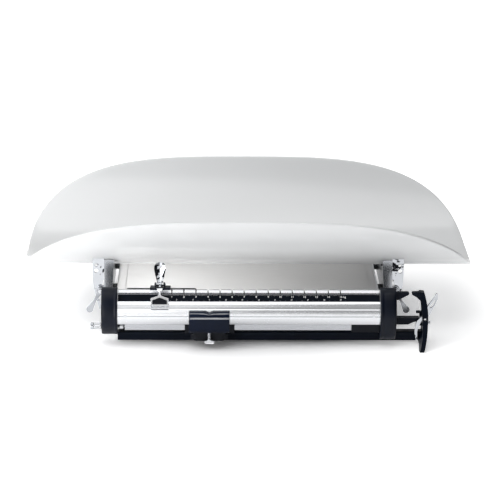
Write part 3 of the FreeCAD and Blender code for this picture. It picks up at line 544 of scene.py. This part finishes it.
def make_scale():
    """Figures and graduations on the black strip, and filled ticks on the notched rail."""
    low, high = box["scale_strip"]
    lower = Vector((0.0, low.y + 0.05 * MM, low.z + 0.1 * MM))
    upper = Vector((0.0, high.y - 2.6 * MM, high.z - 0.02 * MM))
    up = (upper - lower).normalized()
    normal = Vector((1.0, 0.0, 0.0)).cross(up)
    height = (upper - lower).length
    start = middle("upper_poise_pointer").x

    def on_strip(x, share):
        return Vector((x, 0.0, 0.0)) + lower + up * (height * share) + normal * 0.06 * MM

    for kilogram in range(1, KILOGRAMS + 1):
        x = start + kilogram * NOTCH_PITCH
        words = str(kilogram) if kilogram < KILOGRAMS else "15 kg"
        aside = 2.6 * MM if kilogram == KILOGRAMS else 0.0
        place = on_strip(x + aside, 0.66)
        text_piece("figure_kg_%d" % kilogram, words, 3.3 * MM, place, up, normal, "scale_strip")
    pound = NOTCH_PITCH * KILOGRAMS_PER_POUND
    for step in range(1, POUNDS // 3 + 1):
        x = start + step * 3 * pound + 0.6 * MM
        place = on_strip(x, 0.2)
        text_piece("figure_lb_%d" % step, str(step * 3), 1.9 * MM, place, up, normal, "scale_strip")

    mesh = bmesh.new()

    def mark(x, share_low, share_high, width):
        corners = [on_strip(x - width / 2, share_low), on_strip(x + width / 2, share_low),
                   on_strip(x + width / 2, share_high), on_strip(x - width / 2, share_high)]
        base = [mesh.verts.new(c - normal * 0.05 * MM) for c in corners]
        face = [mesh.verts.new(c) for c in corners]
        mesh.faces.new(face)
        for i in range(4):
            mesh.faces.new((base[i], base[(i + 1) % 4], face[(i + 1) % 4], face[i]))
        mesh.faces.new(list(reversed(base)))

    for tenth in range(0, KILOGRAMS * 10 + 1):
        if tenth % 10 == 0:
            continue
        tall = 0.10 if tenth % 5 == 0 else 0.06
        mark(start + tenth * NOTCH_PITCH / 10, 0.93 - tall, 0.93, 0.22 * MM)
    for step in range(0, POUNDS + 1):
        mark(start + step * pound, 0.03, 0.09, 0.25 * MM)
    piece = finish_mesh(mesh, "graduations", "scale_strip", replace=False, smooth=False)
    dress(piece, figure_white)

    rail_low, rail_high = box["notch_rail"]
    ledge = box["beam_body"][1].z
    mesh = bmesh.new()
    for index in range(KILOGRAMS + 1):
        x = start + index * NOTCH_PITCH
        left, right = x - 0.55 * MM, x + 0.55 * MM
        foot, head = ledge + 0.1 * MM, rail_high.z - 1.6 * MM
        tick = rounded([(left, foot), (right, foot), (right, head), (left, head)], 0.3 * MM, 2)
        plate(mesh, "y", (rail_low.y - 0.06 * MM, rail_low.y + 0.2 * MM), tick, 0.05 * MM, 1)
    piece = finish_mesh(mesh, "rail_ticks", "notch_rail", replace=False)
    dress(piece, mark_dark)


# ---------------------------------------------------------------- poises

def make_lower_poise():
    """Glossy block with a rounded shoulder and a sight notch in its top, and its thumb screw."""
    low, high = box["lower_poise_body"]
    front, back = low.y, high.y
    screw = middle("clamp_screw")
    section = rounded([
        (back, high.z, 0.6 * MM), (front + 5.4 * MM, high.z, 1.6 * MM),
        (front + 2.5 * MM, high.z - 3.6 * MM, 1.2 * MM),
        (front + 2.2 * MM, high.z - 5.6 * MM, 0.2 * MM), (front + 0.3 * MM, high.z - 7.5 * MM, 0.3 * MM),
        (front, high.z - 11.0 * MM, 1.0 * MM),
        (front, low.z + 3.4 * MM, 1.4 * MM), (front + 2.0 * MM, low.z, 0.8 * MM),
        (back, low.z, 0.4 * MM)], 0.5 * MM, 4)
    half = (high.x - low.x) / 2
    centre = (high.x + low.x) / 2
    edge = 1.1 * MM
    places = [(half, 2.6), (half, 1.4), (half - 0.12 * edge, 0.7), (half - 0.45 * edge, 0.2),
              (half - edge, 0.0)]
    notch = 5.0 * MM
    across = (-notch, -notch * 0.5, -0.6 * MM, 0.6 * MM, notch * 0.5, notch)
    stops = [(-x, amount) for x, amount in places]
    stops += [(x, 0.0) for x in across]
    stops += list(reversed(places))
    rings = []
    for x, amount in stops:
        ring = []
        depth = 2.0 * MM * max(0.0, min(1.0, (notch - abs(x)) / (notch - 0.6 * MM)))
        for point in inset(section, amount * MM):
            z = min(point.y, high.z - amount * MM - depth) if depth else point.y
            ring.append(Vector((centre + x, point.x, z)))
        rings.append(ring)
    mesh = bmesh.new()
    loft(mesh, rings)
    finish_mesh(mesh, "lower_poise_block", "lower_poise_body", sharp=math.radians(30))

    low, high = box["clamp_screw"]
    mesh = bmesh.new()
    radius = 2.4 * MM
    thread = []
    level = high.z - 0.2 * MM
    while level > low.z + 4.6 * MM:
        thread += [(level, radius), (level - 0.25 * MM, radius * 0.87)]
        level -= 0.5 * MM
    profile = [(high.z, radius * 0.6)] + thread + [(low.z + 3.6 * MM, radius * 0.9)]
    turned(mesh, "z", (screw.x, screw.y), profile, 28)
    wing, neck = low.z + 3.8 * MM, low.z + 4.6 * MM
    head = rounded([
        (low.x, low.z, 1.5 * MM), (high.x, low.z, 1.5 * MM), (high.x, wing, 1.2 * MM),
        (screw.x + 3.0 * MM, wing, 0.8 * MM), (screw.x + 2.6 * MM, neck, 0.6 * MM),
        (screw.x - 2.6 * MM, neck, 0.6 * MM), (screw.x - 3.0 * MM, wing, 0.8 * MM),
        (low.x, wing, 1.2 * MM)], 0.8 * MM, 4)
    plate(mesh, "y", (screw.y - 2.2 * MM, screw.y + 2.2 * MM), head, 0.7 * MM)
    finish_mesh(mesh, "thumb_screw", "clamp_screw")


def make_upper_poise():
    """Chromed finger lever with turned-in flanges, and the hub and latch tooth below it."""
    low, high = box["upper_poise_lever"]
    pin = middle("latch_pin")
    x = middle("upper_poise_pointer").x
    base_z, top_z = pin.z - 1.0 * MM, high.z
    mesh = bmesh.new()
    rings = []
    for step in range(LEVER_STATIONS + 1):
        share = step / LEVER_STATIONS
        z = base_z + (top_z - base_z) * share
        width = (1.9 + 5.0 * min(1.0, share / LEVER_WIDEST) ** 0.8) * MM
        if share > LEVER_WIDEST:
            past = (share - LEVER_WIDEST) / (1.0 - LEVER_WIDEST)
            width = 6.9 * MM * math.sqrt(max(0.0, 1 - past ** 2.4)) + 0.02 * MM
        depth = 3.2 * MM * math.sin(math.pi * min(1.0, share / 0.94)) ** 0.6 if share < 0.94 else 0.0
        outer, inner = [], []
        for column in range(-LEVER_COLUMNS, LEVER_COLUMNS + 1):
            side = abs(column) / LEVER_COLUMNS
            y = pin.y + 0.6 * MM - depth * (0.15 * side + 0.85 * side ** 1.5) + (z - base_z) * LEVER_LEAN
            px = x + width * column / LEVER_COLUMNS
            outer.append(Vector((px, y - LEVER_SHEET / 2, z)))
            inner.append(Vector((px, y + LEVER_SHEET / 2, z)))
        rings.append(outer + list(reversed(inner)))
    loft(mesh, rings)
    finish_mesh(mesh, "finger_lever", "upper_poise_lever", sharp=math.radians(50))

    mesh = bmesh.new()
    hub = [(x - 4.5 * MM, 2.0 * MM), (x - 4.4 * MM, 2.5 * MM), (x + 2.4 * MM, 2.5 * MM),
           (x + 2.5 * MM, 2.0 * MM)]
    turned(mesh, "x", (pin.y, pin.z), hub, 28)
    tooth = rounded([
        (pin.y - 0.6 * MM, pin.z + 1.4 * MM), (low.y + 3.4 * MM, pin.z + 1.2 * MM), (low.y, pin.z),
        (low.y, low.z), (low.y + 2.1 * MM, low.z), (low.y + 3.0 * MM, pin.z - 0.8 * MM),
        (pin.y - 0.6 * MM, pin.z - 1.0 * MM)], 0.5 * MM, 3)
    plate(mesh, "x", (x - 1.0 * MM, x + 1.0 * MM), tooth, 0.2 * MM)
    finish_mesh(mesh, "lever_tooth", "upper_poise_lever", replace=False)


def make_knobs():
    """Knurled zero knob on its threaded rod, and the knob's bright end."""
    rod_end = box["zero_screw"][1].x
    axis = middle("zero_knob_cap")
    knob_end = box["zero_knob_cap"][1].x
    mesh = bmesh.new()

    def knurl(angle, index):
        return 1.0 + (0.035 if 1 < index < 6 else 0.0) * math.cos(24 * angle)

    r = 3.9 * MM
    knob = [(knob_end, r * 0.9)]
    knob += [(knob_end + place * MM, r) for place in (0.3, 0.9, 3.0, 6.0, 8.0, 8.6)]
    knob += [(knob_end + 9.0 * MM, r * 0.85)]
    turned(mesh, "x", (axis.y, axis.z), knob, 96, knurl)
    thread = [(knob_end + 8.9 * MM, 2.0 * MM)]
    level = knob_end + 9.2 * MM
    while level < rod_end - 0.5 * MM:
        thread += [(level, 2.0 * MM), (level + 0.35 * MM, 1.72 * MM)]
        level += 0.7 * MM
    turned(mesh, "x", (axis.y, axis.z), thread + [(rod_end, 1.5 * MM)], 24)
    finish_mesh(mesh, "zero_knob_turned", "zero_screw", sharp=math.radians(50))

    low, high = box["zero_knob_cap"]
    mesh = bmesh.new()
    r = (high.z - low.z) / 2
    cap = [(low.x + 0.5 * MM, r * 0.3), (low.x + 0.4 * MM, r * 0.5), (low.x, r * 0.62),
           (low.x + 0.05 * MM, r * 0.82), (low.x + 0.5 * MM, r * 0.97),
           (low.x + 1.0 * MM, r), (high.x - 0.4 * MM, r), (high.x, r * 0.93)]
    turned(mesh, "x", (axis.y, axis.z), cap, 48)
    finish_mesh(mesh, "zero_knob_end", "zero_knob_cap")


for name, obj in nodes.items():
    dress(obj, SPECIAL.get(name, MATERIALS[slot_of[name]]))

make_tray()
make_beam()
make_cap("beam_cap_left", -1)
make_cap("beam_cap_right", 1)
make_scale()
make_lower_poise()
make_upper_poise()
make_knobs()

replaced = {"tray", "beam_body", "beam_cap_left", "beam_cap_right", "lower_poise_body", "clamp_screw",
            "upper_poise_lever", "zero_screw", "zero_knob_cap"}
for name, obj in nodes.items():
    if name not in replaced:
        soften(obj)


# ---------------------------------------------------------------- camera, floor and light

def aim(obj, target):
    """Turn a light to face a point."""
    obj.rotation_euler = (target - obj.location).to_track_quat("-Z", "Y").to_euler()


camera_data = bpy.data.cameras.new("camera")
camera_data.lens = LENS
camera_data.sensor_width = 36.0
camera_data.clip_end = 50.0
camera = bpy.data.objects.new("camera", camera_data)
bpy.context.scene.collection.objects.link(camera)
direction = Vector((math.sin(AZIMUTH) * math.cos(ELEVATION), -math.cos(AZIMUTH) * math.cos(ELEVATION),
                    math.sin(ELEVATION)))
camera.location = AIM + direction * DISTANCE
look = (AIM - camera.location).to_track_quat("-Z", "Y")
camera.rotation_euler = (look.to_matrix() @ Matrix.Rotation(ROLL, 3, "Z")).to_euler()
bpy.context.scene.camera = camera
bpy.context.scene.view_settings.view_transform = "Standard"

bpy.ops.mesh.primitive_plane_add(size=30.0, location=(0.0, 0.0, 0.0))
floor = bpy.context.object
floor.name = "floor"
floor_shader = Shader("floor_white")
floor_shader.set(Roughness=0.7, Base_Color=(0.97, 0.97, 0.975, 1.0))
floor_shader.bsdf.inputs["Emission Color"].default_value = (1.0, 1.0, 1.0, 1.0)
# The floor's emission is painted light, faded out in an ellipse round the scale: a painted shade there beside
# the cast shadows.
spread = floor_shader.tree.nodes.new("ShaderNodeVectorMath")
spread.operation = "MULTIPLY"
spread.inputs[1].default_value = (1.0 / SHADE_HALF_X, 1.0 / SHADE_HALF_Y, 0.0)
floor_shader.tree.links.new(floor_shader.coords.outputs["Object"], spread.inputs[0])
away = floor_shader.tree.nodes.new("ShaderNodeVectorMath")
away.operation = "LENGTH"
floor_shader.tree.links.new(spread.outputs["Vector"], away.inputs[0])
near = floor_shader.value_range(away.outputs["Value"], *NEAR_GLOW)
far = floor_shader.value_range(away.outputs["Value"], *FAR_GLOW)
glow = floor_shader.tree.nodes.new("ShaderNodeMath")
floor_shader.tree.links.new(near, glow.inputs[0])
floor_shader.tree.links.new(far, glow.inputs[1])
floor_shader.link(glow.outputs["Value"], "Emission Strength")
floor.data.materials.append(floor_shader.material)


def area_light(name, location, target, width, height, energy):
    data = bpy.data.lights.new(name, "AREA")
    data.shape = "RECTANGLE"
    data.size = width
    data.size_y = height
    data.energy = energy
    light = bpy.data.objects.new(name, data)
    bpy.context.scene.collection.objects.link(light)
    light.location = location
    aim(light, Vector(target))
    light.visible_camera = False
    return light


def light_only(light, names):
    """Let a light fall on the named objects alone."""
    lit = bpy.data.collections.new(light.name + "_lit")
    for name in names:
        lit.objects.link(bpy.data.objects[name])
    light.light_linking.receiver_collection = lit


area_light("key", (-2.4, -1.0, 2.2), (-0.05, 0.0, 0.05), 1.8, 1.8, 28.0)
area_light("front_left", (-0.60, -0.66, 0.16), (-0.05, -0.1, 0.06), 0.34, 0.26, 2.4)
area_light("front_fill", (-0.5, -1.7, 0.30), (0.0, 0.0, 0.07), 0.9, 0.4, 1.8)
area_light("back_left", (-0.55, 1.0, 0.14), (0.0, 0.0, 0.05), 0.8, 0.16, 3.0)
area_light("top", (-0.2, 0.1, 1.9), (0.0, 0.0, 0.0), 2.4, 1.6, 21.0)
strip = area_light("strip", (0.0, -0.80, 1.4), (0.0, -0.1, 0.05), 1.5, 0.16, 34.0)
light_only(strip, ["lower_poise_block"])
beam_light = area_light("beam_light", (-0.42, -1.3, 1.1), (-0.1, -0.13, 0.05), 0.9, 0.9, 2.0)
light_only(beam_light, ["beam_shell"])
cover_light = area_light("cover_light", (-0.15, -0.10, 0.24), (-0.10, 0.0, 0.045), 0.12, 0.08, 1.0)
light_only(cover_light, ["base_cover"])
cover_light.light_linking.blocker_collection = cover_light.light_linking.receiver_collection

upright = (0.0, math.radians(90), 0.0)
bpy.ops.mesh.primitive_plane_add(size=1.0, location=(0.95, -0.45, 0.55), rotation=upright)
card = bpy.context.object
card.name = "dark_card"
card.scale = (1.1, 1.8, 1.0)
card.visible_camera = False
card.data.materials.append(satin("card_black", (0.01, 0.01, 0.012), 0.9))

world = bpy.data.worlds.new("studio")
bpy.context.scene.world = world
world.use_nodes = True
tree = world.node_tree
background = tree.nodes["Background"]
background.inputs["Strength"].default_value = WORLD_STRENGTH
coords = tree.nodes.new("ShaderNodeTexCoord")
split = tree.nodes.new("ShaderNodeSeparateXYZ")
tree.links.new(coords.outputs["Generated"], split.inputs[0])


def world_step(source, start, end):
    node = tree.nodes.new("ShaderNodeMapRange")
    node.interpolation_type = "SMOOTHSTEP"
    node.inputs["From Min"].default_value = start
    node.inputs["From Max"].default_value = end
    tree.links.new(source, node.inputs["Value"])
    return node.outputs["Result"]


def world_product(first, second):
    node = tree.nodes.new("ShaderNodeMath")
    node.operation = "MULTIPLY"
    tree.links.new(first, node.inputs[0])
    tree.links.new(second, node.inputs[1])
    return node.outputs["Value"]


sideways = tree.nodes.new("ShaderNodeMath")
sideways.operation = "ABSOLUTE"
tree.links.new(split.outputs["X"], sideways.inputs[0])
aside = world_step(sideways.outputs["Value"], *DARK_ASIDE)
in_front = world_step(split.outputs["Y"], *DARK_IN_FRONT)
below_lights = world_step(split.outputs["Z"], *DARK_BELOW)
dark = world_product(aside, world_product(in_front, below_lights))
blend = tree.nodes.new("ShaderNodeMixRGB")
blend.inputs["Color1"].default_value = (1.0, 1.0, 1.0, 1.0)
blend.inputs["Color2"].default_value = WORLD_DARK
tree.links.new(dark, blend.inputs["Fac"])
tree.links.new(blend.outputs["Color"], background.inputs["Color"])
